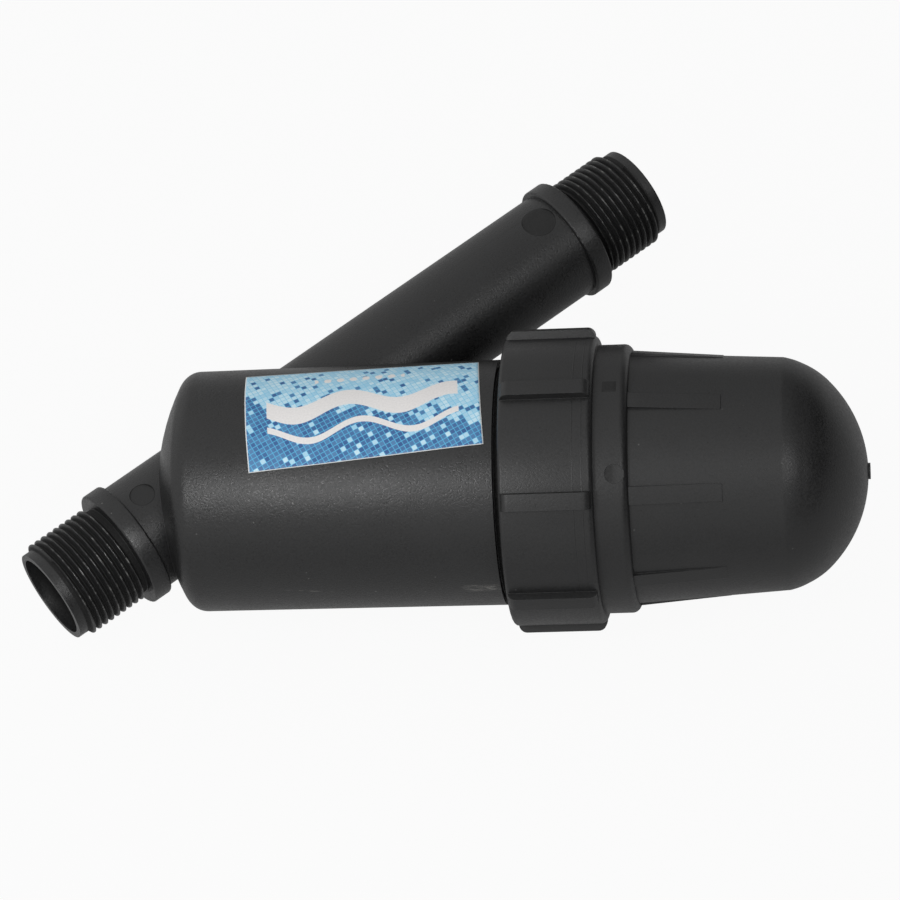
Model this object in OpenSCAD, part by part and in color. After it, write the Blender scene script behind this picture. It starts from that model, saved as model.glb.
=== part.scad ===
// Irrigation disc filter for a 3/4 inch line: a through pipe with a branch barrel, a screw
// cover, and a stack of grooved rings clamped on a slotted core.
// The pipe lies along X. The barrel branches off level, towards +X and -Y.
// The origin is on the pipe's axis, where the outlet thread starts beside its collar.
// Distances called reach are measured along an axis from the crossing of pipe and barrel.

/* [Pipe] */
// Angle between the pipe and the barrel
branch_angle = 40; // [38:1:50]
// Outside diameter of the pipe
pipe_od = 28.4; // [27.5:0.1:29.6]
// Bore of the pipe
pipe_bore = 21; // [18:0.1:22]
// Reach of the outlet mouth
outlet_reach = 46; // [44:0.1:60]
// Reach of the inlet mouth
inlet_reach = 137.6; // [130:0.1:160]

/* [Pipe ends] */
// Outside diameter of the end threads, G 3/4
end_thread_od = 26.44; // [25.5:0.01:27.4]
// Length of each end thread
end_thread_len = 15.5; // [12:0.1:18]
// Width of the relief groove beside the collar
relief_len = 1.2; // [0.8:0.1:2]
// Depth of the relief groove and of the step at the plain lead-in
end_thread_depth = 1.2; // [0.8:0.05:1.4]
// Length of the plain lead-in at the mouth
lead_in_len = 3.5; // [2:0.1:5]
// Outside diameter of the stop collars
collar_od = 31; // [29.8:0.1:36]
// Length of the stop collars
collar_len = 4.9; // [4:0.1:8]
// Rounding of the collar edges
collar_round = 0.6; // [0.2:0.1:1]

/* [Barrel] */
// Outside diameter of the barrel at its closed end
barrel_od = 58.9; // [56:0.1:64]
// Draft of the barrel's outside, degrees a side
barrel_draft = 0.35; // [0.1:0.01:1]
// Wall of the barrel at its closed end
barrel_wall = 3.2; // [2.5:0.1:3.8]
// Depth of the closed end's middle behind the crossing
end_depth = 10.2; // [8.5:0.1:12]
// Radius of the closed end's shallow dome
end_dome_r = 56.7; // [50:0.1:70]
// Thickness of the closed end
end_wall = 3; // [2:0.1:4]
// Rounding of the closed end
end_round = 4.7; // [3:0.1:6]
// Reach of the shoulder where the neck starts
shoulder_reach = 74.6; // [70:0.1:90]

/* [Neck] */
// Step from the shoulder down to the crest of the neck thread
neck_step = 0.55; // [0.3:0.05:1]
// Depth of the neck thread
neck_thread_depth = 1.4; // [1:0.1:1.6]
// Length of the neck past the shoulder
neck_len = 17.9; // [14:0.1:24]
// Length of the plain neck between the shoulder and the thread
neck_plain_len = 3; // [2:0.1:4]

/* [Outlet seat] */
// Reach of the seat's rim inside the barrel
seat_reach = 14; // [13:0.1:18]
// Bore of the seat
seat_bore = 24.4; // [23:0.1:26]
// Wall of the seat
seat_wall = 5.3; // [4:0.1:6]

/* [Cover] */
// Gap between the shoulder and the tightened cover
cover_gap = 1.7; // [1:0.1:3]
// Clearance between the neck thread and the skirt's bore
skirt_clearance = 0.4; // [0.3:0.05:0.6]
// Wall of the grip skirt
skirt_wall = 5.3; // [4.6:0.1:7]
// Thickness of the step that closes the skirt over the seal
skirt_end_wall = 3.6; // [3:0.1:6]
// Rounding of the skirt's open edge
skirt_open_round = 1; // [0.4:0.1:1.5]
// Rounding of the skirt's far edge
skirt_far_round = 1.5; // [0.5:0.1:2]
// Step from the skirt down to the shoulder ring
ring_step = 2.4; // [2:0.05:3]
// Length of the shoulder ring
ring_len = 8.2; // [6:0.1:12]
// Rounding of the shoulder ring's edge
ring_round = 2; // [1:0.1:2]
// Step from the shoulder ring down to the bowl
bowl_step = 2.3; // [2.1:0.05:2.8]
// Length of the bowl from the shoulder ring to its tip
bowl_len = 56; // [50:0.1:75]
// Draft of the bowl, degrees a side
bowl_draft = 3.35; // [1:0.05:4]
// Radius of the bowl's round end
bowl_end_r = 32.1; // [31.5:0.1:36]
// Radius of the blend between the bowl's wall and its round end
bowl_round = 19.9; // [8:0.1:22]
// Wall of the bowl
bowl_wall = 3; // [2:0.1:3.2]
// Diameter of the gate stub at the tip
gate_d = 4; // [2:0.1:6]
// Height of the gate stub
gate_h = 0.5; // [0.2:0.1:1]

/* [Grip ribs] */
// Number of ribs round the skirt, and of the strips on the bowl
rib_count = 8; // [6:1:12]
// Turn of the first rib from straight up, when the cover is tight
rib_turn = 2.6; // [0:0.1:20]
// Width of the skirt ribs
rib_w = 4.2; // [3:0.1:6]
// Height of the skirt ribs
rib_h = 2; // [1:0.1:3]
// Distance of the ribs from the skirt's two edges
rib_inset = 0.5; // [0.2:0.1:1.2]
// Width of the strips on the bowl
strip_w = 4.4; // [3:0.1:6]
// Length of the strips on the bowl
strip_len = 22; // [12:0.5:30]
// Height of the strips at the shoulder ring
strip_h = 0.7; // [0.4:0.1:1.4]
// Height of the strips at their far end
strip_end_h = 0.15; // [0.1:0.05:0.3]

/* [Seals] */
// Section diameter of the cover seal
cover_seal_d = 2.4; // [2:0.1:2.6]
// Section diameter of the seat seal
seat_seal_d = 2; // [1.6:0.1:2.2]
// Gap left round a seal
seal_gap = 0.15; // [0.1:0.01:0.2]

/* [Filter element] */
// Groups of rings on the core
group_count = 26; // [10:1:27]
// Rings in each group
rings_per_group = 4; // [2:1:4]
// Thickness of one ring
ring_t = 1.08; // [0.8:0.01:1.1]
// Gap between rings
ring_gap = 0.02; // [0.01:0.01:0.05]
// Outside diameter of the rings
ring_od = 43; // [38:0.5:45]
// Inside diameter of the rings
ring_id = 28; // [26:0.5:30]
// Bevel of the rings' outer edge
ring_bevel = 0.28; // [0.1:0.01:0.35]
// Clearance between the core and the rings
core_clearance = 0.3; // [0.2:0.05:0.5]
// Wall of the core
core_wall = 2.6; // [2:0.1:3.5]
// Thickness of the core's base flange
flange_t = 3; // [2:0.1:5]
// Length of the core's spigot
spigot_len = 8; // [6:0.1:9]
// Wall of the spigot
spigot_wall = 3.2; // [3:0.1:4]
// Width of the slots in the core
slot_w = 5; // [3:0.1:6]
// Rows of slots along the core
slot_rows = 7; // [3:1:9]
// Height of the hoops between the rows
hoop_h = 2.5; // [2:0.1:4]
// Diameter of the cap's screw on the core
cap_screw_d = 16; // [12:0.1:18]
// Thickness of the element's cap
cap_t = 4; // [3:0.1:6]
// Height of the cap's hub
hub_h = 9; // [8:0.1:11]
// Wall of the cap's hub
hub_wall = 4; // [3:0.1:6]

/* [Label] */
// Length of the label along the barrel
label_len = 56.8; // [40:0.1:60]
// Height of the label across the barrel
label_h = 29.7; // [20:0.1:40]
// Reach of the label's middle
label_reach = 43; // [38:0.1:44]
// Turn of the label's middle from straight up, towards the inlet pipe
label_turn = 8; // [0:0.1:20]
// Crooked angle at which the label is stuck on
label_skew = 5; // [0:0.1:8]
// Thickness of the label
label_t = 0.2; // [0.1:0.05:0.4]

/* [Moulding marks] */
// Diameter of the mark on the outlet arm
outlet_mark_d = 6.1; // [3:0.1:8]
// Reach of the mark on the outlet arm
outlet_mark_reach = 15.6; // [15:0.1:17]
// Diameter of the mark on the inlet arm
inlet_mark_d = 8.4; // [3:0.1:9]
// Distance of the inlet mark's middle from the inlet collar
inlet_mark_back = 5; // [4.6:0.1:10]
// Diameter of the mark on the shoulder ring
ring_mark_d = 4.6; // [2:0.1:6]
// Turn of the ring mark from straight up
ring_mark_turn = -32.5; // [-60:0.1:60]
// Depth of the marks
mark_depth = 0.35; // [0.1:0.05:0.5]

/* [Hidden] */
$fn = 96;
// Overrun of a cut past the face that it opens
over = 1;
// Film of air under the label
label_gap = 0.05;

pipe_r = pipe_od / 2;
bore_r = pipe_bore / 2;
end_len = relief_len + end_thread_len + lead_in_len;
end_thread_r = end_thread_od / 2;
lead_in_r = end_thread_r - end_thread_depth;
crossing_x = outlet_reach - lead_in_len - end_thread_len;

barrel_r = barrel_od / 2;
cavity_r = barrel_r - barrel_wall;
end_centre = end_dome_r - end_depth;
end_round_r = barrel_r - end_round;
end_start = end_centre - sqrt(pow(end_dome_r - end_round, 2) - pow(end_round_r, 2));
neck_end = shoulder_reach + neck_len;
neck_thread_r = barrel_r_at(shoulder_reach) - neck_step;
neck_root_r = neck_thread_r - neck_thread_depth;
neck_bevel = neck_thread_depth / 2;

seat_r = seat_bore / 2;
// Room left under the core's spigot
spigot_room = 4;
seat_floor = seat_reach - spigot_len - spigot_room;
// The inlet bore stops inside the barrel, clear of the seat, and the outlet bore runs past the crossing
inlet_bore_start = (seat_reach + bore_r * sin(branch_angle) + over) / cos(branch_angle);
outlet_bore_end = 6;

skirt_start = shoulder_reach + cover_gap;
skirt_bore_r = neck_thread_r + skirt_clearance;
skirt_r = skirt_bore_r + skirt_wall;
ledge = neck_end + cover_seal_d + 2 * seal_gap;
skirt_end = ledge + skirt_end_wall;
shoulder_ring_r = skirt_r - ring_step;
shoulder_ring_end = skirt_end + ring_len;
bowl_r = shoulder_ring_r - bowl_step;
bowl_tip = shoulder_ring_end + bowl_len;
bowl_centre = bowl_tip - bowl_end_r;
// Centre of the blend's round, tangent to the bowl's wall and to its round end
blend_slope = tan(bowl_draft);
blend_base_r = bowl_r_at(bowl_centre) - bowl_round / cos(bowl_draft);
blend_room = pow(bowl_end_r - bowl_round, 2) * (1 + pow(blend_slope, 2)) - pow(blend_base_r, 2);
blend_rise = (blend_base_r * blend_slope + sqrt(blend_room)) / (1 + pow(blend_slope, 2));
blend_r = blend_base_r - blend_rise * blend_slope;
rib_step = 360 / rib_count;
cover_seal_r = skirt_bore_r - seal_gap - cover_seal_d / 2;

ring_r = ring_od / 2;
ring_pitch = ring_t + ring_gap;
group_len = ring_pitch * rings_per_group;
element_gap = 0.3;
flange_start = seat_reach + element_gap;
stack_start = flange_start + flange_t + ring_gap;
stack_end = stack_start + group_len * group_count;
core_r = ring_id / 2 - core_clearance;
core_hole_r = core_r - core_wall;
core_step_back = 1;
core_end = stack_end - core_step_back;
core_top_t = 3;
slot_turn = 60;
spigot_r = seat_r - element_gap;
spigot_hole_r = spigot_r - spigot_wall;
spigot_start = seat_reach - spigot_len;
groove_w = seat_seal_d + 2 * seal_gap;
groove_mid = spigot_start + spigot_len / 2;
seat_seal_r = seat_r - seal_gap - seat_seal_d / 2;
groove_r = seat_seal_r - seat_seal_d / 2 - seal_gap;
slots_start = stack_start + hoop_h;
slot_pitch = (core_end - core_top_t - slots_start) / slot_rows;
cap_start = stack_end + ring_gap;
cap_screw_r = cap_screw_d / 2;
cap_roof_t = 1.5;
cap_screw_room = 1;
cap_screw_end = cap_start + hub_h - cap_roof_t - cap_screw_room;
cap_hole_r = cap_screw_r + element_gap;
hub_r = cap_hole_r + hub_wall;
grip_count = 4;
grip_w = 3;
grip_inset = 1;

body_colour = "#1d1e20";
rubber_colour = "#111111";
ring_colour = "#b3241c";
core_colour = "#26282a";
label_colour = "#3f8fc4";

function barrel_r_at(reach) = barrel_r + max(0, reach - end_start) * tan(barrel_draft);
function bowl_r_at(reach) = bowl_r - (reach - shoulder_ring_end) * tan(bowl_draft);
function two_digits(i) = str(i < 10 ? "0" : "", i);
function group_name(i) = str("disc_group_", two_digits(i));

// Places a shape drawn along +Z on the pipe's inlet arm
module along_inlet() {
    translate([crossing_x, 0, 0])
    rotate([0, 90, 0])
    children();
}

// Places a shape drawn along +Z on the pipe's outlet arm
module along_outlet() {
    translate([crossing_x, 0, 0])
    rotate([0, -90, 0])
    children();
}

// Places a shape drawn along +Z on the barrel's axis, with its +X up and its -Y to the inlet pipe
module along_barrel() {
    translate([crossing_x, 0, 0])
    rotate([0, 0, -branch_angle])
    rotate([0, 90, 0])
    rotate([0, 0, 180])
    children();
}

// Waste outside a round of radius r, for a corner at the origin that fills -X and -Y
module corner_waste(r) {
    translate([-r, -r])
    difference() {
        square(r + over);
        circle(r);
    }
}

// Waste outside a round of radius r about the origin, between the directions from and to
module round_waste(r, from, to) {
    far = r + over;
    middle = (from + to) / 2;
    corner = far / cos((to - from) / 2);
    difference() {
        polygon([
            [0, 0], [far * cos(from), far * sin(from)],
            [corner * cos(middle), corner * sin(middle)], [far * cos(to), far * sin(to)]
        ]);
        circle(r);
    }
}

// One arm of the pipe, solid, from start to its mouth, with collar, relief, thread blank and lead-in
module pipe_arm(start, mouth) {
    thread_start = mouth - lead_in_len - end_thread_len;
    collar_end = thread_start - relief_len;
    collar_start = collar_end - collar_len;
    collar_r = collar_od / 2;
    rotate_extrude()
    difference() {
        polygon([
            [0, start], [pipe_r, start],
            [pipe_r, collar_start], [collar_r, collar_start],
            [collar_r, collar_end], [lead_in_r, collar_end],
            [lead_in_r, thread_start], [end_thread_r, thread_start],
            [end_thread_r, mouth - lead_in_len], [lead_in_r, mouth - lead_in_len + end_thread_depth],
            [lead_in_r, mouth], [0, mouth]
        ]);
        translate([collar_r, collar_end])
        corner_waste(collar_round);
        translate([collar_r, collar_start])
        mirror([0, 1])
        corner_waste(collar_round);
    }
}

// Section inside the closed end's dome, its wall standing in by inset, open towards the neck
module dome_section(inset) {
    translate([0, end_centre])
    circle(end_dome_r - inset);
    translate([0, end_centre])
    square([end_dome_r, neck_end]);
}

// Outside of the barrel, solid, from the closed end to the neck's rim
module barrel_outside() {
    shoulder_r = barrel_r_at(shoulder_reach);
    thread_start = shoulder_reach + neck_plain_len;
    rotate_extrude()
    difference() {
        intersection() {
            polygon([
                [0, -end_depth - over], [barrel_r, -end_depth - over],
                [barrel_r, end_start], [shoulder_r, shoulder_reach],
                [neck_root_r, shoulder_reach], [neck_root_r, thread_start],
                [neck_thread_r, thread_start + neck_thread_depth], [neck_thread_r, neck_end - neck_bevel],
                [neck_thread_r - neck_bevel, neck_end], [0, neck_end]
            ]);
            dome_section(0);
        }
        translate([end_round_r, end_start])
        round_waste(end_round, atan2(end_start - end_centre, end_round_r), 0);
    }
}

// Hollow of the barrel, which leaves the seat standing on the closed end
module barrel_hollow() {
    rotate_extrude()
    difference() {
        intersection() {
            translate([0, -end_depth])
            square([cavity_r, neck_end + end_depth + over]);
            dome_section(end_wall);
        }
        translate([0, -end_depth - over])
        square([seat_r + seat_wall, seat_reach + end_depth + over]);
    }
}

// Flat round ejector mark on top of the pipe
module pipe_mark(x, d) {
    translate([crossing_x + x, 0, pipe_r - mark_depth])
    cylinder(d = d, h = mark_depth + over);
}

module filter_body() {
    color(body_colour)
    difference() {
        union() {
            difference() {
                union() {
                    along_barrel() barrel_outside();
                    along_inlet() pipe_arm(0, inlet_reach);
                }
                along_barrel() barrel_hollow();
            }
            along_outlet() pipe_arm(-outlet_bore_end / 2, outlet_reach);
        }
        along_inlet()
        translate([0, 0, inlet_bore_start])
        cylinder(r = bore_r, h = inlet_reach - inlet_bore_start + over);
        along_outlet()
        translate([0, 0, -outlet_bore_end])
        cylinder(r = bore_r, h = outlet_reach + outlet_bore_end + over);
        along_barrel()
        translate([0, 0, seat_floor])
        cylinder(r = seat_r, h = seat_reach - seat_floor + over);
        pipe_mark(-outlet_mark_reach, outlet_mark_d);
        pipe_mark(inlet_reach - end_len - collar_len - inlet_mark_back, inlet_mark_d);
    }
}

module label() {
    inner_r = barrel_r + label_gap;
    far = shoulder_reach;
    near = end_start;
    rise = barrel_r_at(far) - barrel_r;
    color(label_colour)
    along_barrel()
    intersection() {
        rotate_extrude()
        polygon([
            [inner_r, near], [inner_r + label_t, near],
            [inner_r + label_t + rise, far], [inner_r + rise, far]
        ]);
        rotate([0, 0, -label_turn])
        translate([barrel_r, 0, label_reach])
        rotate([label_skew, 0, 0])
        cube([barrel_r, label_h, label_len], center = true);
    }
}

module element_core() {
    color(core_colour)
    along_barrel()
    difference() {
        rotate_extrude()
        polygon([
            [spigot_hole_r, spigot_start], [spigot_r, spigot_start],
            [spigot_r, groove_mid - groove_w / 2], [groove_r, groove_mid - groove_w / 2],
            [groove_r, groove_mid + groove_w / 2], [spigot_r, groove_mid + groove_w / 2],
            [spigot_r, flange_start], [ring_r, flange_start],
            [ring_r, flange_start + flange_t], [core_r, flange_start + flange_t],
            [core_r, core_end], [cap_screw_r, core_end],
            [cap_screw_r, cap_screw_end], [0, cap_screw_end],
            [0, core_end - core_top_t], [core_hole_r, core_end - core_top_t],
            [core_hole_r, flange_start + flange_t], [spigot_hole_r, flange_start + flange_t]
        ]);
        for (row = [0:slot_rows - 1])
            for (turn = [0:slot_turn:180 - slot_turn])
                rotate([0, 0, turn])
                translate([-ring_r, -slot_w / 2, slots_start + row * slot_pitch])
                cube([ring_od, slot_w, slot_pitch - hoop_h]);
    }
}

module seat_seal() {
    color(rubber_colour)
    along_barrel()
    translate([0, 0, groove_mid])
    rotate_extrude()
    translate([seat_seal_r, 0])
    circle(d = seat_seal_d);
}

// One filter ring with bevelled outer edges
module filter_ring() {
    rotate_extrude()
    polygon([
        [ring_id / 2, 0], [ring_r - ring_bevel, 0],
        [ring_r, ring_bevel], [ring_r, ring_t - ring_bevel],
        [ring_r - ring_bevel, ring_t], [ring_id / 2, ring_t]
    ]);
}

module disc_group(i) {
    color(ring_colour)
    along_barrel()
    for (k = [0:rings_per_group - 1])
        translate([0, 0, stack_start + (i - 1) * group_len + k * ring_pitch])
        filter_ring();
}

module element_cap() {
    color(core_colour)
    along_barrel()
    translate([0, 0, cap_start])
    difference() {
        union() {
            cylinder(r = ring_r, h = cap_t);
            cylinder(r = hub_r, h = hub_h);
            for (k = [0:grip_count - 1])
                rotate([0, 0, k * 360 / grip_count])
                translate([0, -grip_w / 2, 0])
                cube([ring_r - grip_inset, grip_w, hub_h - grip_inset]);
        }
        translate([0, 0, -over])
        cylinder(r = cap_hole_r, h = hub_h - cap_roof_t + over);
    }
}

module cover_seal() {
    color(rubber_colour)
    along_barrel()
    translate([0, 0, neck_end + seal_gap + cover_seal_d / 2])
    rotate_extrude()
    translate([cover_seal_r, 0])
    circle(d = cover_seal_d);
}

// Section of a bowl whose wall stands in by inset, from reach start to the tip
module bowl_section(start, inset) {
    step_in = inset / cos(bowl_draft);
    difference() {
        intersection() {
            polygon([
                [0, start], [bowl_r_at(start) - step_in, start],
                [bowl_r_at(bowl_tip) - step_in, bowl_tip], [0, bowl_tip]
            ]);
            union() {
                translate([0, start])
                square([2 * bowl_end_r, bowl_centre - start]);
                translate([0, bowl_centre])
                circle(bowl_end_r - inset);
            }
        }
        translate([blend_r, bowl_centre + blend_rise])
        round_waste(bowl_round - inset, bowl_draft, atan2(blend_rise, blend_r));
    }
}

// Section of the cover's outside
module cover_section() {
    difference() {
        translate([0, skirt_start])
        square([skirt_r, skirt_end - skirt_start]);
        translate([skirt_r, skirt_end])
        corner_waste(skirt_far_round);
        translate([skirt_r, skirt_start])
        mirror([0, 1])
        corner_waste(skirt_open_round);
    }
    difference() {
        translate([0, skirt_end])
        square([shoulder_ring_r, ring_len]);
        translate([shoulder_ring_r, shoulder_ring_end])
        corner_waste(ring_round);
    }
    bowl_section(shoulder_ring_end, 0);
}

// Radial slabs that cut a turned shape into ribs of width w
module rib_slabs(w, start, end) {
    for (k = [0:rib_count - 1])
        rotate([0, 0, rib_step * k - rib_turn])
        translate([0, -w / 2, start])
        cube([2 * skirt_r, w, end - start]);
}

module grip_ribs() {
    rib_start = skirt_start + rib_inset;
    rib_end = skirt_end - rib_inset;
    outer_r = skirt_r + rib_h;
    intersection() {
        rotate_extrude()
        difference() {
            translate([skirt_bore_r, rib_start])
            square([outer_r - skirt_bore_r, rib_end - rib_start]);
            translate([outer_r, rib_end])
            corner_waste(rib_h);
            translate([outer_r, rib_start])
            mirror([0, 1])
            corner_waste(rib_h);
        }
        rib_slabs(rib_w, skirt_start, skirt_end);
    }
}

module bowl_strips() {
    strip_start = shoulder_ring_end - ring_round;
    strip_end = shoulder_ring_end + strip_len;
    root = bowl_wall / 2;
    intersection() {
        rotate_extrude()
        polygon([
            [bowl_r_at(strip_start) - root, strip_start], [bowl_r + strip_h, strip_start],
            [bowl_r + strip_h, shoulder_ring_end], [bowl_r_at(strip_end) + strip_end_h, strip_end],
            [bowl_r_at(strip_end) - root, strip_end]
        ]);
        rib_slabs(strip_w, strip_start, strip_end);
    }
}

module screw_cover() {
    color(body_colour)
    along_barrel()
    difference() {
        union() {
            rotate_extrude() cover_section();
            grip_ribs();
            bowl_strips();
            translate([0, 0, bowl_tip - gate_h])
            cylinder(d = gate_d, h = 2 * gate_h);
        }
        translate([0, 0, skirt_start - over])
        cylinder(r = skirt_bore_r, h = ledge - skirt_start + over);
        rotate_extrude() bowl_section(ledge - over, bowl_wall);
        rotate([0, 0, -ring_mark_turn])
        translate([shoulder_ring_r - mark_depth, 0, shoulder_ring_end - ring_round - ring_mark_d / 4])
        rotate([0, 90, 0])
        cylinder(d = ring_mark_d, h = mark_depth + over);
    }
}

filter_body();
label();
element_core();
seat_seal();
for (i = [1:group_count])
    disc_group(i);
element_cap();
cover_seal();
screw_cover();
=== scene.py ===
from math import cos, pi, radians, sin, tan

import bmesh
import bpy
import numpy as np
from mathutils import Matrix, Vector


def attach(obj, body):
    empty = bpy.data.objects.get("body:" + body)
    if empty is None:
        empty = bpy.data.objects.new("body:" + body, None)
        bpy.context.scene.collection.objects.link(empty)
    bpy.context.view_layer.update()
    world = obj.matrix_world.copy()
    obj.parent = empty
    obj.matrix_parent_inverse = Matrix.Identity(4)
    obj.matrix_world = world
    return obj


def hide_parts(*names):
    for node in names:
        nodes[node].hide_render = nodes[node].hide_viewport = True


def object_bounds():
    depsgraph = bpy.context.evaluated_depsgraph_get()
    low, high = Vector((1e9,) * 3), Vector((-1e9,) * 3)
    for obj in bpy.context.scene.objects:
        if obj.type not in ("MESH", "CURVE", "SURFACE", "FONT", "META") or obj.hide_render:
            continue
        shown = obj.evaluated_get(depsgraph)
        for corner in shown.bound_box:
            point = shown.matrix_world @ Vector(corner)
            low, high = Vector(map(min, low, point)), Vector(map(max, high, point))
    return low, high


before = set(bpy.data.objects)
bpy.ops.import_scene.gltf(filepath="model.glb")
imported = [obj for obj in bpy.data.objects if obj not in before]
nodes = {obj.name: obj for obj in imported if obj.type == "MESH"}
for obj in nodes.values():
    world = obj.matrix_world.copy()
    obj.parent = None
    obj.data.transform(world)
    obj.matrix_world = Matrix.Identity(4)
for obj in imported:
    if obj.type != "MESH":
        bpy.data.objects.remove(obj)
cad_low, cad_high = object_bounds()
scene = bpy.context.scene

# Filter body: through pipe, slanted barrel and threaded neck in one black polypropylene moulding.
# The solids leave its threads as plain cylinders over the crests. Here those stretches are taken out
# of a copy of the moulding, and true right-hand threads take their place.
branch = radians(40)
crossing = Vector((0.027, 0, 0))
barrel_way = Vector((cos(branch), -sin(branch), 0))
inlet_side = Vector((sin(branch), cos(branch), 0))
up = Vector((0, 0, 1))

inlet_thread_x = 0.1456
thread_len = 0.0155
thread_crest = 0.01322
thread_root = 0.01202
thread_pitch = 0.001814
lead_in_bevel = 0.0012
lead_in_len = 0.0035
neck_thread_start = 0.0776
neck_thread_end = 0.0918
neck_rim = 0.0925
neck_crest = 0.02935
neck_root = 0.02795
neck_hole = 0.02625
neck_pitch = 0.0045


def axis_frame(origin, way, first):
    """Matrix that puts local Z along way and local X along first."""
    second = way.cross(first)
    return Matrix.Translation(origin) @ Matrix((first, second, way)).transposed().to_4x4()


def smooth_step(t):
    """Share from 0 to 1 that starts and ends gently."""
    t = np.clip(t, 0, 1)
    return t * t * (3 - 2 * t)


def thread_skin(first, last, root, crest, pitch, run_in, run_out, turn, spiral):
    """Heights and radii of a right-hand thread along Z, as grids of rows up the thread and steps
    round it. The crest dies away over run_in and run_out, and spiral makes the far end helical."""
    steps_round = 176
    rows_per_pitch = 16
    root_flat = 0.12
    flank_share = 0.76
    rows = int((last - first) / pitch * rows_per_pitch)
    round_turn = np.linspace(0, 1, steps_round, endpoint=False)[None, :]
    height = np.linspace(first, last, rows + 1)[:, None]
    flank = 1 - np.abs(2 * ((height / pitch - round_turn - turn) % 1.0) - 1)
    form = np.clip((flank - root_flat) / flank_share, 0, 1)
    form = form * smooth_step((height - first) / run_in)
    form = form * smooth_step((last - spiral * pitch * round_turn - height) / run_out)
    return height + 0 * round_turn, root + (crest - root) * form


def turned_mesh(name, height, radius, place, turn=None):
    """Mesh of a grid of heights and radii round local Z, faces outwards, in even steps if no turns
    are given."""
    rows, steps = radius.shape
    if turn is None:
        turn = 2 * pi * np.arange(steps)[None, :] / steps
    points = np.stack([radius * np.cos(turn), radius * np.sin(turn), height], -1).reshape(-1, 3)
    i, j = np.meshgrid(np.arange(rows - 1), np.arange(steps), indexing="ij")
    k = (j + 1) % steps
    faces = np.stack([i * steps + j, i * steps + k, (i + 1) * steps + k, (i + 1) * steps + j], -1)
    mesh = bpy.data.meshes.new(name)
    mesh.from_pydata(points.tolist(), [], faces.reshape(-1, 4).tolist())
    mesh.transform(place)
    return mesh


edge_slack = 2e-5
weld_gap = 2e-6
sharp_edge = radians(32)


def band(place, first, last, least, most):
    """Test for points between two heights and two radii of a place."""
    back = place.inverted()

    def inside(point):
        p = back @ point
        return first - edge_slack < p.z < last + edge_slack and least < p.xy.length < most

    return inside


def moulded_copy(name, node, parts, cleared):
    """A copy of a node's mesh with the faces inside each cleared zone taken out and the parts added."""
    skin = bmesh.new()
    skin.from_mesh(nodes[node].data)
    bmesh.ops.remove_doubles(skin, verts=skin.verts[:], dist=weld_gap)
    for test in cleared:
        inside = {vert for vert in skin.verts if test(vert.co)}
        waste = [face for face in skin.faces if all(vert in inside for vert in face.verts)]
        bmesh.ops.delete(skin, geom=waste, context="FACES")
    for part in parts:
        skin.from_mesh(part)
        bpy.data.meshes.remove(part)
    bmesh.ops.remove_doubles(skin, verts=skin.verts[:], dist=weld_gap)
    mesh = bpy.data.meshes.new(name)
    skin.to_mesh(mesh)
    skin.free()
    for layer in ("custom_normal", "sharp_edge", "sharp_face"):
        if layer in mesh.attributes:
            mesh.attributes.remove(mesh.attributes[layer])
    mesh.shade_smooth()
    mesh.set_sharp_from_angle(angle=sharp_edge)
    piece = bpy.data.objects.new(name, mesh)
    scene.collection.objects.link(piece)
    return piece


outlet_place = axis_frame(Vector((0, 0, 0)), Vector((-1, 0, 0)), up)
inlet_place = axis_frame(Vector((inlet_thread_x, 0, 0)), Vector((1, 0, 0)), up)
barrel_place = axis_frame(crossing, barrel_way, up)

thread_reach = thread_len + lead_in_bevel
thread_start_len = 0.0002
thread_lift = 0.00001
end_thread = {
    "first": 0,
    "last": thread_reach + thread_start_len,
    "root": thread_root + thread_lift,
    "crest": thread_crest,
    "pitch": thread_pitch,
    "run_in": 0.0007,
    "run_out": 0.0005,
    "spiral": 0.5,
}
outlet_grids = thread_skin(turn=0.2, **end_thread)
inlet_grids = thread_skin(turn=0.65, **end_thread)

coarse_thread = {"pitch": neck_pitch, "run_in": 0.002, "run_out": 0.002, "spiral": 0.6}
neck_height, neck_radius = thread_skin(
    neck_thread_start, neck_thread_end, neck_root, neck_crest, turn=0.0, **coarse_thread
)
rim_step = 0.0002
rim_bevel = 0.0005
rim = [
    (neck_root, neck_thread_end + rim_step),
    (neck_root - rim_bevel, neck_rim),
    (neck_hole, neck_rim),
]
around = np.ones((1, neck_radius.shape[1]))
neck_radius = np.vstack([neck_radius] + [radius * around for radius, _ in rim])
neck_height = np.vstack([neck_height] + [height * around for _, height in rim])

skin_slack = 0.0005
hole_slack = 0.00005
end_band = (0, thread_reach, thread_root - skin_slack, thread_crest + skin_slack)
neck_band = (neck_thread_start, neck_rim, neck_hole - hole_slack, neck_crest + skin_slack)
body = moulded_copy(
    "filter_body_moulding",
    "filter_body",
    [
        turned_mesh("outlet_thread", *outlet_grids, outlet_place),
        turned_mesh("inlet_thread", *inlet_grids, inlet_place),
        turned_mesh("neck_thread", neck_height, neck_radius, barrel_place),
    ],
    [
        band(outlet_place, *end_band),
        band(inlet_place, *end_band),
        band(barrel_place, *neck_band),
    ],
)


def add_node(tree, kind, inputs=None, **settings):
    """A node with its settings, and its sockets set to values or linked from other sockets."""
    made = tree.nodes.new(kind)
    for name, value in settings.items():
        setattr(made, name, value)
    for name, value in (inputs or {}).items():
        if isinstance(value, bpy.types.NodeSocket):
            tree.links.new(value, made.inputs[name])
        else:
            made.inputs[name].default_value = value
    return made


def maths(tree, operation, *values):
    """Output of a Math node."""
    return add_node(tree, "ShaderNodeMath", dict(enumerate(values)), operation=operation).outputs[0]


def product(tree, first, *others):
    """All the values multiplied together."""
    for other in others:
        first = maths(tree, "MULTIPLY", first, other)
    return first


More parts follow.
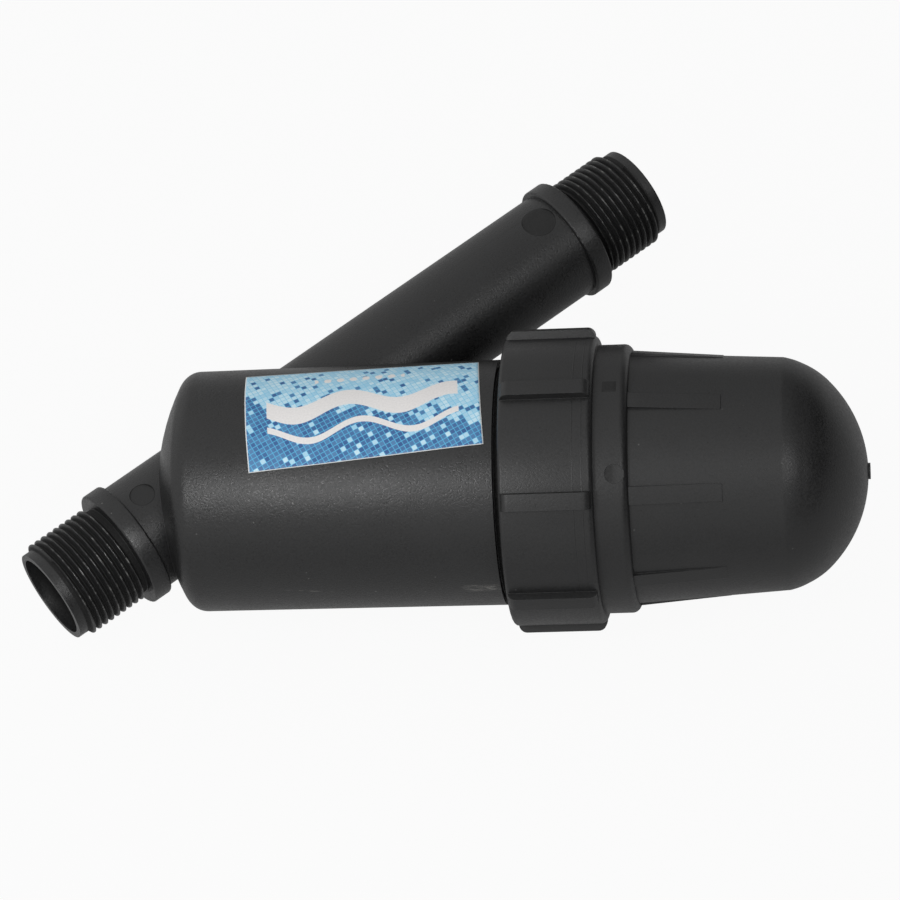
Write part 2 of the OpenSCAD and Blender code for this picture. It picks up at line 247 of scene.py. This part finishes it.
def vector_maths(tree, operation, *vectors):
    """Vector output of a Vector Math node."""
    made = add_node(tree, "ShaderNodeVectorMath", dict(enumerate(vectors)), operation=operation)
    return made.outputs["Vector"]


def measure(tree, operation, *vectors):
    """Value output of a Vector Math node, such as a length or a dot product."""
    made = add_node(tree, "ShaderNodeVectorMath", dict(enumerate(vectors)), operation=operation)
    return made.outputs["Value"]


def scaled(tree, vector, factor):
    """A vector or colour times a factor."""
    inputs = {0: vector, "Scale": factor}
    return add_node(tree, "ShaderNodeVectorMath", inputs, operation="SCALE").outputs["Vector"]


def split(tree, vector):
    """The X, Y and Z of a vector."""
    return add_node(tree, "ShaderNodeSeparateXYZ", {0: vector}).outputs


def noise(tree, vector, scale, detail, roughness=0.5):
    """Value of a noise texture."""
    inputs = {"Vector": vector, "Scale": scale, "Detail": detail, "Roughness": roughness}
    return add_node(tree, "ShaderNodeTexNoise", inputs).outputs["Fac"]


def ramp(tree, value, low, high, low_out=0.0, high_out=1.0):
    """Output of a clamped smooth Map Range node."""
    inputs = {"Value": value, "From Min": low, "From Max": high, "To Min": low_out, "To Max": high_out}
    made = add_node(tree, "ShaderNodeMapRange", inputs, interpolation_type="SMOOTHSTEP")
    return made.outputs["Result"]


def window(tree, value, middle, half, soft):
    """1 where value is within half of middle, dying away over soft."""
    off = maths(tree, "ABSOLUTE", maths(tree, "SUBTRACT", value, middle))
    return ramp(tree, off, half + soft, half)


def mix_colour(tree, factor, first, second):
    """Output of a colour Mix node."""
    made = add_node(tree, "ShaderNodeMix", {0: factor, 6: first, 7: second}, data_type="RGBA")
    return made.outputs[2]


def object_place(tree):
    """Point of the surface in the part's own frame."""
    return add_node(tree, "ShaderNodeTexCoord").outputs["Object"]


def new_group(name, inputs, outputs):
    """An empty shader group with named sockets, and its two ends."""
    group = bpy.data.node_groups.new(name, "ShaderNodeTree")
    for label, kind, value in inputs:
        group.interface.new_socket(label, in_out="INPUT", socket_type=kind).default_value = value
    for label, kind in outputs:
        group.interface.new_socket(label, in_out="OUTPUT", socket_type=kind)
    return group, group.nodes.new("NodeGroupInput").outputs, group.nodes.new("NodeGroupOutput").inputs


def new_material(name):
    """A material with only a Principled shader, its tree and the shader."""
    material = bpy.data.materials.new(name)
    material.use_nodes = True
    tree = material.node_tree
    tree.nodes.clear()
    shader = tree.nodes.new("ShaderNodeBsdfPrincipled")
    add_node(tree, "ShaderNodeOutputMaterial", {"Surface": shader.outputs[0]})
    return material, tree, shader


# The skin of a moulding: matte grain from the etched mould, cloudy gloss, and a little dust
grain_scale = 1900
cloud_scale = 75
dust_scale = 430
dust_pale = (0.30, 0.30, 0.29, 1)
dust_cover = 0.35
skin_group, ends, out = new_group(
    "moulded_skin",
    [
        ("Colour", "NodeSocketColor", (0.02, 0.02, 0.02, 1)),
        ("Gloss Base", "NodeSocketFloat", 0.45),
        ("Dust", "NodeSocketFloat", 1.0),
    ],
    [("Colour", "NodeSocketColor"), ("Roughness", "NodeSocketFloat"), ("Height", "NodeSocketFloat")],
)
place = object_place(skin_group)
grain = noise(skin_group, place, grain_scale, 3, 0.65)
cloud = noise(skin_group, place, cloud_scale, 4, 0.6)
cell_inputs = {"Vector": place, "Scale": dust_scale, "Randomness": 1}
cells = add_node(skin_group, "ShaderNodeTexVoronoi", cell_inputs).outputs
cell_value = add_node(skin_group, "ShaderNodeSeparateColor", {0: cells["Color"]}).outputs[0]
speck_round = ramp(skin_group, cells["Distance"], 0.13, 0.05)
speck_chance = ramp(skin_group, cell_value, 0.9, 0.96)
speck = product(skin_group, speck_round, speck_chance, ends["Dust"])
cloud_tone = maths(skin_group, "MULTIPLY_ADD", cloud, 0.5, 0.75)
grain_tone = maths(skin_group, "MULTIPLY_ADD", grain, 1.6, -0.8)
toned = scaled(skin_group, ends["Colour"], maths(skin_group, "ADD", cloud_tone, grain_tone))
dusty = mix_colour(skin_group, maths(skin_group, "MULTIPLY", speck, dust_cover), toned, dust_pale)
skin_group.links.new(dusty, out["Colour"])
cloud_rough = maths(skin_group, "MULTIPLY_ADD", cloud, 0.16, -0.08)
grain_rough = maths(skin_group, "MULTIPLY_ADD", grain, 0.5, -0.25)
rough = maths(skin_group, "ADD", cloud_rough, grain_rough)
skin_group.links.new(maths(skin_group, "ADD", rough, ends["Gloss Base"]), out["Roughness"])
skin_group.links.new(maths(skin_group, "MULTIPLY_ADD", cloud, 0.5, grain), out["Height"])

# Reach along the barrel, turn round it and radius, for marks that sit on the barrel or the cover
barrel_group, ends, out = new_group(
    "barrel_place",
    [],
    [("Reach", "NodeSocketFloat"), ("Turn", "NodeSocketFloat"), ("Radius", "NodeSocketFloat")],
)
offset = vector_maths(barrel_group, "SUBTRACT", object_place(barrel_group), crossing)
aside = measure(barrel_group, "DOT_PRODUCT", offset, inlet_side)
above = measure(barrel_group, "DOT_PRODUCT", offset, up)
barrel_group.links.new(measure(barrel_group, "DOT_PRODUCT", offset, barrel_way), out["Reach"])
barrel_group.links.new(maths(barrel_group, "ARCTAN2", aside, above), out["Turn"])
square = maths(barrel_group, "MULTIPLY_ADD", aside, aside, maths(barrel_group, "MULTIPLY", above, above))
barrel_group.links.new(maths(barrel_group, "SQRT", square), out["Radius"])


def moulded_material(name, colour, roughness, dust, edge, grain_depth):
    """A moulded plastic, its tree, its skin and the bump that carries its grain and softened edges."""
    material, tree, shader = new_material(name)
    skin = add_node(tree, "ShaderNodeGroup", node_tree=skin_group)
    skin.inputs["Colour"].default_value = (*colour, 1)
    skin.inputs["Gloss Base"].default_value = roughness
    skin.inputs["Dust"].default_value = dust
    bevel = add_node(tree, "ShaderNodeBevel", {"Radius": edge}, samples=8)
    bump = add_node(tree, "ShaderNodeBump", {"Height": skin.outputs["Height"], "Normal": bevel.outputs[0]})
    bump.inputs["Strength"].default_value = 0.35
    bump.inputs["Distance"].default_value = grain_depth
    tree.links.new(skin.outputs["Colour"], shader.inputs["Base Color"])
    tree.links.new(skin.outputs["Roughness"], shader.inputs["Roughness"])
    tree.links.new(bump.outputs[0], shader.inputs["Normal"])
    return material, tree, shader, skin, bump


black_plastic = (0.0125, 0.0126, 0.0129)
body_finish, tree, shader, skin, bump = moulded_material(
    "body_black_plastic", black_plastic, roughness=0.345, dust=1.0, edge=0.00016, grain_depth=0.00028
)

# Pale rub marks and a hairline scratch low on the barrel, where it has slid on a bench
rub_pale = (0.34, 0.33, 0.31, 1)
rub_reach = 0.0702
rub_turn = radians(-92.5)
scratch_reach = 0.0285
scratch_start = 0.0226
scratch_start_turn = radians(-90.4)
scratch_slant = -3.6
spot = add_node(tree, "ShaderNodeGroup", node_tree=barrel_group)
reach, turn = spot.outputs["Reach"], spot.outputs["Turn"]
streak_reach = maths(tree, "MULTIPLY", reach, 160.0)
streak_turn = maths(tree, "MULTIPLY", turn, 90.0)
streaks = add_node(tree, "ShaderNodeCombineXYZ", {0: streak_reach, 1: streak_turn}).outputs[0]
streak = ramp(tree, noise(tree, streaks, 1.6, 5, 0.7), 0.5, 0.66)
rub_along = window(tree, reach, rub_reach, 0.0028, 0.003)
rub_round = window(tree, turn, rub_turn, radians(1.6), radians(2))
rub = maths(tree, "MULTIPLY", rub_along, rub_round)
scratch_base = scratch_start_turn - scratch_slant * scratch_start
scratch_line = maths(tree, "MULTIPLY_ADD", reach, scratch_slant, scratch_base)
scratch_off = maths(tree, "SUBTRACT", turn, scratch_line)
scratch = window(tree, scratch_off, 0.0, radians(0.09), radians(0.12))
scratch = maths(tree, "MULTIPLY", scratch, window(tree, reach, scratch_reach, 0.004, 0.004))
rub = maths(tree, "MULTIPLY", maths(tree, "MAXIMUM", rub, scratch), streak)
wear_and_painted_light = mix_colour(tree, rub, skin.outputs["Colour"], rub_pale)

# Painted shade in the roots of the end threads, in the bores and in the gap under the skirt
painted_shade_black = (0.001, 0.001, 0.001, 1)
pipe_mid = inlet_thread_x / 2
bore_r = 0.0105
bore_wall = 0.0119
bore_shade_len = 0.004
gap_reach = 0.0764
place = object_place(tree)
pipe_place = split(tree, place)
pipe_round = add_node(tree, "ShaderNodeCombineXYZ", {1: pipe_place[1], 2: pipe_place[2]}).outputs[0]
pipe_r = measure(tree, "LENGTH", pipe_round)
mid_off = maths(tree, "ABSOLUTE", maths(tree, "SUBTRACT", pipe_place[0], pipe_mid))
ends_only = ramp(tree, mid_off, pipe_mid - 0.0012, pipe_mid - 0.001)
outside_bore = maths(tree, "GREATER_THAN", pipe_r, bore_wall)
before_mouth = window(tree, pipe_place[0], pipe_mid, pipe_mid + thread_reach, 0.0002)
in_thread = product(tree, ends_only, outside_bore, before_mouth)
root_depth = ramp(tree, pipe_r, thread_crest - 0.00015, thread_root + 0.0003)
root_painted_shade = maths(tree, "MULTIPLY", in_thread, root_depth)
in_gap = maths(tree, "LESS_THAN", spot.outputs["Radius"], neck_crest)
gap_painted_shade = maths(tree, "MULTIPLY", in_gap, window(tree, reach, gap_reach, 0.0016, 0.0001))
in_bore = maths(tree, "LESS_THAN", pipe_r, bore_r + 0.0001)
mouth_off = pipe_mid + thread_len + lead_in_len
bore_shade = ramp(tree, mid_off, mouth_off, mouth_off - bore_shade_len)
bore_painted_shade = product(tree, in_bore, ends_only, bore_shade)
painted_shade = maths(tree, "MAXIMUM", root_painted_shade, gap_painted_shade)
painted_shade = maths(tree, "MAXIMUM", painted_shade, bore_painted_shade)

# Painted shade on the floors and edges of the two round ejector marks on top of the pipe
on_top = maths(tree, "GREATER_THAN", pipe_place[2], 0.0132)
for mark_x, mark_width, mark_shade in ((0.0114, 0.0061, 0.3), (0.1345, 0.0084, 0.6)):
    offset = vector_maths(tree, "SUBTRACT", place, (mark_x, 0, 0))
    mark_off = measure(tree, "LENGTH", vector_maths(tree, "MULTIPLY", offset, (1, 1, 0)))
    floor_shade = ramp(tree, mark_off, mark_width / 2, mark_width / 2 - 0.0003)
    floor_shade = maths(tree, "MULTIPLY", floor_shade, mark_shade)
    edge_shade = window(tree, mark_off, mark_width / 2, 0.00005, 0.0001)
    mark = maths(tree, "MAXIMUM", floor_shade, edge_shade)
    painted_shade = maths(tree, "MAXIMUM", painted_shade, maths(tree, "MULTIPLY", mark, on_top))
# Painted shade: thread roots, bores, the gap under the skirt and the ejector marks mixed towards black
wear_and_painted_light = mix_colour(tree, painted_shade, wear_and_painted_light, painted_shade_black)

# Thread crests polished by fittings, with small pale painted highlights (glints) on them
glint_pale = (0.24, 0.24, 0.23, 1)
glint_cover = 0.55
glint_noise = noise(tree, place, 420, 4, 0.75)
glint_height = ramp(tree, pipe_r, thread_crest - 0.00025, thread_crest)
glint = product(tree, glint_height, ramp(tree, glint_noise, 0.52, 0.66), in_thread)
wear_and_painted_light = mix_colour(tree, maths(tree, "MULTIPLY", glint, glint_cover), wear_and_painted_light, glint_pale)
tree.links.new(wear_and_painted_light, shader.inputs["Base Color"])
polish_height = ramp(tree, pipe_r, thread_crest - 0.0002, thread_crest)
polish = maths(tree, "MULTIPLY", in_thread, polish_height)
dull = maths(tree, "MULTIPLY_ADD", painted_shade, 0.45, skin.outputs["Roughness"])
dull = maths(tree, "MULTIPLY_ADD", polish, -0.12, dull)
tree.links.new(dull, shader.inputs["Roughness"])

body.data.materials.append(body_finish)
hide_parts("filter_body")
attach(body, "housing")

# Label: a printed film, cut square, stuck on the barrel a little crooked. The print is a plain tile
# mosaic in the blues of a pool, with two pale waves and a row of drops across it and a pale edge.
label_reach = 0.04305
label_turn = radians(8.0)
label_len = 0.0568
label_arc = 0.0311
label_skew = radians(5.2)
label_lift = 0.00016
label_film_t = 0.0001
label_ripple = 0.00012
barrel_r = 0.02945
barrel_start = 0.00077
barrel_taper = tan(radians(0.35))


def barrel_sheet(name, reach, turn, radius):
    """Mesh of a sheet wrapped round the barrel, from grids of reach, turn and radius, and its faces."""
    points = np.stack([radius * np.cos(turn), -radius * np.sin(turn), reach], -1).reshape(-1, 3)
    rows, columns = reach.shape
    i, j = np.meshgrid(np.arange(rows - 1), np.arange(columns - 1), indexing="ij")
    corner = i * columns + j
    faces = np.stack([corner, corner + columns, corner + columns + 1, corner + 1], -1).reshape(-1, 4)
    mesh = bpy.data.meshes.new(name)
    mesh.from_pydata(points.tolist(), [], faces.tolist())
    mesh.transform(barrel_place)
    return mesh, faces


along, across = np.meshgrid(np.linspace(-0.5, 0.5, 73), np.linspace(-0.5, 0.5, 41), indexing="ij")
ripple = label_ripple * np.sin(9 * along + 2) * np.sin(7 * across + 1)
film_along = along * label_len + ripple * np.abs(2 * across)
film_across = across * label_arc + ripple * np.abs(2 * along)
film_reach = label_reach + film_along * cos(label_skew) - film_across * sin(label_skew)
film_r = barrel_r + (film_reach - barrel_start) * barrel_taper + label_lift
film_turn = label_turn + (film_along * sin(label_skew) + film_across * cos(label_skew)) / film_r
film_mesh, film_faces = barrel_sheet("label_film", film_reach, film_turn, film_r)
print_map = film_mesh.uv_layers.new(name="print")
film_uv = np.stack([along.ravel() + 0.5, across.ravel() + 0.5], -1)
print_map.data.foreach_set("uv", film_uv[film_faces.ravel()].astype(np.float32).ravel())
film_mesh.shade_smooth()
label = bpy.data.objects.new("label_film", film_mesh)
scene.collection.objects.link(label)
film_body = label.modifiers.new("film", "SOLIDIFY")
film_body.thickness = label_film_t
film_body.offset = -1

# The print is laid out in millimetres from the film's corner: tiles first
tile_size = 1.22
tile_slant = radians(-24)
tile_half = 0.40
tile_soft = 0.06
deep_below = 1.72
swap_above = 0.9
print_finish, tree, shader = new_material("label_print")
uv = add_node(tree, "ShaderNodeUVMap", uv_map="print").outputs[0]
sheet = vector_maths(tree, "MULTIPLY", uv, (label_len * 1000, label_arc * 1000, 1))
slant_inputs = {"Vector": sheet, "Angle": tile_slant}
slanted = add_node(tree, "ShaderNodeVectorRotate", slant_inputs, rotation_type="Z_AXIS").outputs[0]
grid = scaled(tree, slanted, 1 / tile_size)
cell = vector_maths(tree, "FLOOR", grid)
within = split(tree, vector_maths(tree, "FRACTION", grid))
tile_x = window(tree, within[0], 0.5, tile_half, tile_soft)
tile_y = window(tree, within[1], 0.5, tile_half, tile_soft)
on_tile = maths(tree, "MULTIPLY", tile_x, tile_y)
chance = add_node(tree, "ShaderNodeTexWhiteNoise", {"Vector": cell}, noise_dimensions="2D")
tone = add_node(tree, "ShaderNodeSeparateColor", {0: chance.outputs["Color"]}).outputs
cell_xy = split(tree, cell)
level = maths(tree, "MULTIPLY_ADD", cell_xy[0], 0.055, maths(tree, "MULTIPLY", cell_xy[1], 0.075))
level = maths(tree, "MULTIPLY_ADD", tone[0], 0.55, level)
deep = maths(tree, "LESS_THAN", level, deep_below)
swapped = maths(tree, "GREATER_THAN", tone[1], swap_above)
deep = maths(tree, "ABSOLUTE", maths(tree, "SUBTRACT", deep, swapped))
pale_tile = mix_colour(tree, tone[2], (0.36, 0.66, 0.86, 1), (0.62, 0.84, 0.95, 1))
deep_tile = mix_colour(tree, tone[2], (0.028, 0.105, 0.30, 1), (0.085, 0.235, 0.46, 1))
tiles = mix_colour(tree, deep, pale_tile, deep_tile)
joint = mix_colour(tree, deep, (0.26, 0.62, 0.84, 1), (0.10, 0.46, 0.74, 1))
print_colour = mix_colour(tree, on_tile, joint, tiles)

# Two waves and the row of drops over the tiles
print_white = (0.84, 0.82, 0.81, 1)
wave_swing = 2.2
wave_len = 25.0
wave_soft = 0.12
drop_row = 25.2
drop_pitch = 3.1
drop_row_half = 3.5 * drop_pitch
sheet_xy = split(tree, sheet)
for wave_mid, wave_half in ((15.8, 2.5), (8.4, 0.8)):
    wave_phase = maths(tree, "MULTIPLY_ADD", sheet_xy[0], 2 * pi / wave_len, wave_mid * 0.1)
    wave_line = maths(tree, "MULTIPLY_ADD", maths(tree, "SINE", wave_phase), wave_swing, wave_mid)
    wave_off = maths(tree, "SUBTRACT", sheet_xy[1], wave_line)
    wave = window(tree, wave_off, 0.0, wave_half, wave_soft)
    wave = maths(tree, "MULTIPLY", wave, window(tree, sheet_xy[0], 28.4, 23.0, 0.2))
    print_colour = mix_colour(tree, wave, print_colour, print_white)
drop_place = maths(tree, "FRACT", maths(tree, "DIVIDE", sheet_xy[0], drop_pitch))
drop_x = maths(tree, "MULTIPLY_ADD", drop_place, drop_pitch, -drop_pitch / 2)
drop_y = maths(tree, "SUBTRACT", sheet_xy[1], drop_row)
drop_square = maths(tree, "MULTIPLY_ADD", drop_x, drop_x, maths(tree, "MULTIPLY", drop_y, drop_y))
drop = ramp(tree, maths(tree, "SQRT", drop_square), 0.95, 0.85)
drop = maths(tree, "MULTIPLY", drop, window(tree, sheet_xy[0], 27.9, drop_row_half, 0.1))
print_colour = mix_colour(tree, drop, print_colour, print_white)

# Uneven ink, the pale edge of the film, and its satin surface
film_edge = (0.78, 0.80, 0.80, 1)
ink = noise(tree, sheet, 2.2, 3)
print_colour = scaled(tree, print_colour, maths(tree, "MULTIPLY_ADD", ink, 0.24, 0.84))
inner_x = window(tree, sheet_xy[0], 28.4, 28.1, 0.1)
inner_y = window(tree, sheet_xy[1], 15.55, 15.3, 0.1)
print_colour = mix_colour(tree, maths(tree, "MULTIPLY", inner_x, inner_y), film_edge, print_colour)
tree.links.new(print_colour, shader.inputs["Base Color"])
tree.links.new(maths(tree, "MULTIPLY_ADD", ink, 0.2, 0.36), shader.inputs["Roughness"])
film_bump = add_node(tree, "ShaderNodeBump", {"Height": ink, "Strength": 0.15, "Distance": 0.00003})
tree.links.new(film_bump.outputs[0], shader.inputs["Normal"])
label.data.materials.append(print_finish)
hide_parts("label")
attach(label, "housing")


# Filter element: a slotted core with its flange and spigot, moulded in dark grey, and the screw cap
# that clamps the rings on it. Both keep their solids.
def give_finish(name, finish):
    """Put a finish on a solid that stays as it is."""
    nodes[name].data.materials.clear()
    nodes[name].data.materials.append(finish)


core_grey = (0.042, 0.044, 0.047)
core_finish = moulded_material(
    "core_grey_plastic", core_grey, roughness=0.4, dust=0.3, edge=0.0002, grain_depth=0.00004
)[0]
for name in ("element_core", "element_cap"):
    give_finish(name, core_finish)

# Filter rings: thin red rings with fine grooves pressed into both faces, stacked loose on the core.
# Each group of four keeps its solids; the grooves and the tone of each ring are in the finish.
ring_red = (0.36, 0.022, 0.016)
ring_pitch = 0.0011
stack_start = 0.01732
groove_count = 230
groove_depth = 0.0001
ring_finish, tree, shader, skin, bump = moulded_material(
    "ring_red_plastic", ring_red, roughness=0.36, dust=0.0, edge=0.00008, grain_depth=groove_depth
)
spot = add_node(tree, "ShaderNodeGroup", node_tree=barrel_group)
stack_reach = maths(tree, "SUBTRACT", spot.outputs["Reach"], stack_start)
ring_index = maths(tree, "FLOOR", maths(tree, "DIVIDE", stack_reach, ring_pitch))
ring_chance = add_node(tree, "ShaderNodeTexWhiteNoise", {"W": ring_index}, noise_dimensions="1D")
ring_tone = maths(tree, "MULTIPLY_ADD", ring_chance.outputs["Value"], 0.4, 0.75)
tree.links.new(scaled(tree, skin.outputs["Colour"], ring_tone), shader.inputs["Base Color"])
groove_turn = maths(tree, "MULTIPLY", spot.outputs["Turn"], groove_count)
groove_turn = maths(tree, "MULTIPLY_ADD", ring_tone, 14.0, groove_turn)
groove = maths(tree, "MULTIPLY_ADD", maths(tree, "SINE", groove_turn), 0.8, skin.outputs["Height"])
tree.links.new(groove, bump.inputs["Height"])
for name in nodes:
    if name.startswith("disc_group"):
        give_finish(name, ring_finish)

# Seals: two rings of dull black rubber with a little dust. One sits on the core's spigot and one under
# the cover's step, and both keep their solids.
rubber_black = (0.014, 0.014, 0.015)
rubber = moulded_material(
    "seal_black_rubber", rubber_black, roughness=0.6, dust=0.6, edge=0.0001, grain_depth=0.00002
)[0]
for name in ("seat_seal", "cover_seal"):
    give_finish(name, rubber)

# Screw cover: grip skirt with eight ribs, step and long bowl in one black moulding, screwed over the
# neck. A coarse thread stands inside the skirt, in the grooves of the neck thread.
skirt_bore = 0.02975
cover_thread_first = 0.0785
cover_thread_last = 0.0935
cover_thread_root = skirt_bore - 0.00003
cover_thread_crest = 0.0284
cover_grids = thread_skin(
    cover_thread_first, cover_thread_last, cover_thread_root, cover_thread_crest, turn=0.5, **coarse_thread
)
cover_thread = turned_mesh("cover_thread", *cover_grids, barrel_place)
cover_thread.flip_normals()

# Witness lines of the mould's split round the skirt, and the small rectangle of an insert on the step
skirt_r = 0.03505
line_half = 0.0001
line_rise = 0.00006
step_r = 0.03265
insert_rise = 0.00008
insert_from, insert_to = 0.1010, 0.1043
insert_turn_from, insert_turn_to = radians(4.8), radians(10.8)
witness_lines = []
for line_at in (0.0941, 0.0963):
    line_height = np.array([line_at - line_half, line_at, line_at + line_half])[:, None] * around
    line_radius = np.array([skirt_r - line_rise, skirt_r + line_rise, skirt_r - line_rise])[:, None] * around
    witness_lines.append(turned_mesh("witness_line", line_height, line_radius, barrel_place))
insert_reach, insert_turn = np.meshgrid(
    np.linspace(insert_from, insert_to, 9), np.linspace(insert_turn_from, insert_turn_to, 9), indexing="ij"
)
insert_r = np.full(insert_reach.shape, step_r - insert_rise)
insert_r[1:-1, 1:-1] = step_r + insert_rise
insert, _ = barrel_sheet("insert_mark", insert_reach, insert_turn, insert_r)

# The bowl's wall ends in a faint crease where the round end starts, which the solids blend over
bowl_root_reach = 0.107
bowl_root_r = 0.03035
bowl_draft = radians(3.35)
blend_middle_r = 0.008505
blend_middle_reach = 0.139647
blend_r = 0.0199
blend_to_round = radians(45.8)
round_middle_reach = 0.1309
round_r = 0.0321
inner_skin_r = 0.0297
outer_skin_r = round_r + 0.00005
crease_swell = 0.0002
crease_fade = cos(radians(25))
gate_r = 0.002
ring_slack = 0.0001
into_barrel = barrel_place.inverted()
round_middle = Vector((0, 0, round_middle_reach))
blend_start = blend_middle_reach + blend_r * sin(bowl_draft)


def on_round_end(point):
    """Test for points of the bowl's outer skin past the end of its wall."""
    p = into_barrel @ point
    return p.z > blend_start - ring_slack and inner_skin_r < (p - round_middle).length < outer_skin_r


wall_end = {}
for vert in nodes["screw_cover"].data.vertices:
    p = into_barrel @ vert.co
    if p.z < blend_start + ring_slack and on_round_end(vert.co):
        wall_end[round(float(np.arctan2(p.y, p.x)), 5)] = p
wall_end = [wall_end[turn] for turn in sorted(wall_end)]
end_turn = np.array([np.arctan2(p.y, p.x) for p in wall_end])[None, :]
end_height = [np.array([p.z for p in wall_end])]
end_radius = [np.array([p.xy.length for p in wall_end])]
blend_slopes = np.linspace(bowl_draft, blend_to_round, 49)[1:]
round_slopes = np.linspace(blend_to_round, np.arccos(0.9 * gate_r / round_r), 33)[1:]
for slope in [*blend_slopes, *round_slopes]:
    on_blend = slope <= blend_to_round
    crease = max(0, (cos(slope) - crease_fade) / (1 - crease_fade))
    grown = (blend_r if on_blend else round_r) + crease_swell * crease
    height = (blend_middle_reach if on_blend else round_middle_reach) + grown * sin(slope)
    radius = (blend_middle_r if on_blend else 0) + grown * cos(slope)
    radius = min(radius, bowl_root_r - (height - bowl_root_reach) * tan(bowl_draft))
    end_height.append(np.full(len(wall_end), height))
    end_radius.append(np.full(len(wall_end), radius))
round_end = turned_mesh("round_end", np.array(end_height), np.array(end_radius), barrel_place, end_turn)
cover = moulded_copy(
    "screw_cover_moulding", "screw_cover", [cover_thread, insert, round_end] + witness_lines, [on_round_end]
)

# Painted shade over one half of the round ejector mark, and the insert's rectangle darkened
cover_finish, tree, shader, skin, bump = moulded_material(
    "cover_black_plastic", black_plastic, roughness=0.40, dust=0.5, edge=0.00016, grain_depth=0.00016
)
mark_black = (0.002, 0.002, 0.002, 1)
mark_cover = 0.7
mark_reach = 0.10385
mark_turn = radians(-32.5)
mark_r = 0.0023
spot = add_node(tree, "ShaderNodeGroup", node_tree=barrel_group)
reach, turn = spot.outputs["Reach"], spot.outputs["Turn"]
insert_along = window(tree, reach, 0.10265, 0.0016, 0.0002)
insert_round = window(tree, turn, radians(7.8), radians(2.8), radians(0.3))
insert_shade = maths(tree, "MULTIPLY", insert_along, insert_round)
mark_x = maths(tree, "SUBTRACT", reach, mark_reach)
mark_y = maths(tree, "MULTIPLY", maths(tree, "SUBTRACT", turn, mark_turn), step_r)
mark_square = maths(tree, "MULTIPLY_ADD", mark_x, mark_x, maths(tree, "MULTIPLY", mark_y, mark_y))
mark_disc = ramp(tree, maths(tree, "SQRT", mark_square), mark_r, mark_r - 0.0003)
# Painted shade: only one half of the round mark is darkened
mark_shade = maths(tree, "MULTIPLY", mark_disc, ramp(tree, mark_x, 0.0012, -0.0012))
shade = maths(tree, "MULTIPLY", maths(tree, "MAXIMUM", insert_shade, mark_shade), mark_cover)
shaded = mix_colour(tree, shade, skin.outputs["Colour"], mark_black)
tree.links.new(shaded, shader.inputs["Base Color"])
shade_rough = maths(tree, "MULTIPLY_ADD", shade, 0.3, skin.outputs["Roughness"])
tree.links.new(shade_rough, shader.inputs["Roughness"])
cover.data.materials.append(cover_finish)
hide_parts("screw_cover")
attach(cover, "cover")

# Floor: a plain white sheet that the filter lies on. The camera and reflections see it almost white,
# and the filter's shadow stays on it faintly.
floor_z = cad_low.z - 0.0002
floor_half = 4.0
floor_grey = (0.5, 0.5, 0.5, 1)
floor_white_share = 0.94
floor_gloss_share = 0.15
white = (1, 1, 1, 1)
floor_mesh = bpy.data.meshes.new("floor_sheet")
floor_corners = [
    (-floor_half, -floor_half, floor_z),
    (floor_half, -floor_half, floor_z),
    (floor_half, floor_half, floor_z),
    (-floor_half, floor_half, floor_z),
]
floor_mesh.from_pydata(floor_corners, [], [(0, 1, 2, 3)])
floor = bpy.data.objects.new("floor_sheet", floor_mesh)
scene.collection.objects.link(floor)
floor_finish, tree, shader = new_material("floor_white")
shader.inputs["Base Color"].default_value = floor_grey
shader.inputs["Roughness"].default_value = 0.9
glow = add_node(tree, "ShaderNodeEmission", {"Color": white, "Strength": 1.0})
ray = add_node(tree, "ShaderNodeLightPath").outputs
seen = maths(tree, "MAXIMUM", ray["Is Camera Ray"], ray["Is Transmission Ray"])
seen = maths(tree, "MAXIMUM", seen, maths(tree, "MULTIPLY", ray["Is Glossy Ray"], floor_gloss_share))
seen = maths(tree, "MULTIPLY", seen, floor_white_share)
lit = add_node(tree, "ShaderNodeMixShader", {0: seen, 1: shader.outputs[0], 2: glow.outputs[0]})
tree.links.new(lit.outputs[0], tree.nodes["Material Output"].inputs["Surface"])
floor.data.materials.append(floor_finish)

# Light: a dim room, brighter on the left and darker past the bowl, a small softbox close to the barrel,
# left of the camera, and a wide one to the right.
bright_side = (-0.8, 0.3, 0.5)
room_dimmest = 0.02
room_brightest = 0.8
room = bpy.data.worlds.new("studio_room")
scene.world = room
room.use_nodes = True
tree = room.node_tree
tree.nodes.clear()
ray = add_node(tree, "ShaderNodeLightPath").outputs
seen = maths(tree, "MAXIMUM", ray["Is Camera Ray"], ray["Is Transmission Ray"])
way = add_node(tree, "ShaderNodeTexCoord").outputs["Generated"]
facing = measure(tree, "DOT_PRODUCT", way, bright_side)
dim = ramp(tree, facing, -0.75, 0.6, room_dimmest, room_brightest)
sky = add_node(tree, "ShaderNodeBackground", {"Color": white, "Strength": maths(tree, "MAXIMUM", seen, dim)})
add_node(tree, "ShaderNodeOutputWorld", {"Surface": sky.outputs[0]})

for name, lamp_at, aim, size, power in (
    ("near_softbox", (-0.062, -0.098, 0.188), (0.03, 0.0, 0.02), 0.05, 0.116),
    ("right_softbox", (0.2, -0.708, 0.864), (0.045, -0.02, 0.02), 0.45, 1.3),
):
    lamp = bpy.data.lights.new(name, "AREA")
    lamp.shape = "DISK"
    lamp.size = size
    lamp.energy = power
    lamp_object = bpy.data.objects.new(name, lamp)
    lamp_object.location = lamp_at
    lamp_object.rotation_euler = (Vector(aim) - Vector(lamp_at)).to_track_quat("-Z", "Y").to_euler()
    lamp_object.visible_camera = False
    scene.collection.objects.link(lamp_object)

# Camera: a long lens about a metre off, looking down on the filter as it lies on the floor
lens = bpy.data.cameras.new("photo_camera")
lens.sensor_width = 36
lens.lens = 177.17
lens.clip_start = 0.05
lens.clip_end = 20
camera = bpy.data.objects.new("photo_camera", lens)
camera.location = (-0.224591, -0.585091, 0.885042)
camera.rotation_euler = (radians(35.0343), radians(6.344), radians(-37.7734))
scene.collection.objects.link(camera)
scene.camera = camera
scene.view_settings.view_transform = "Standard"
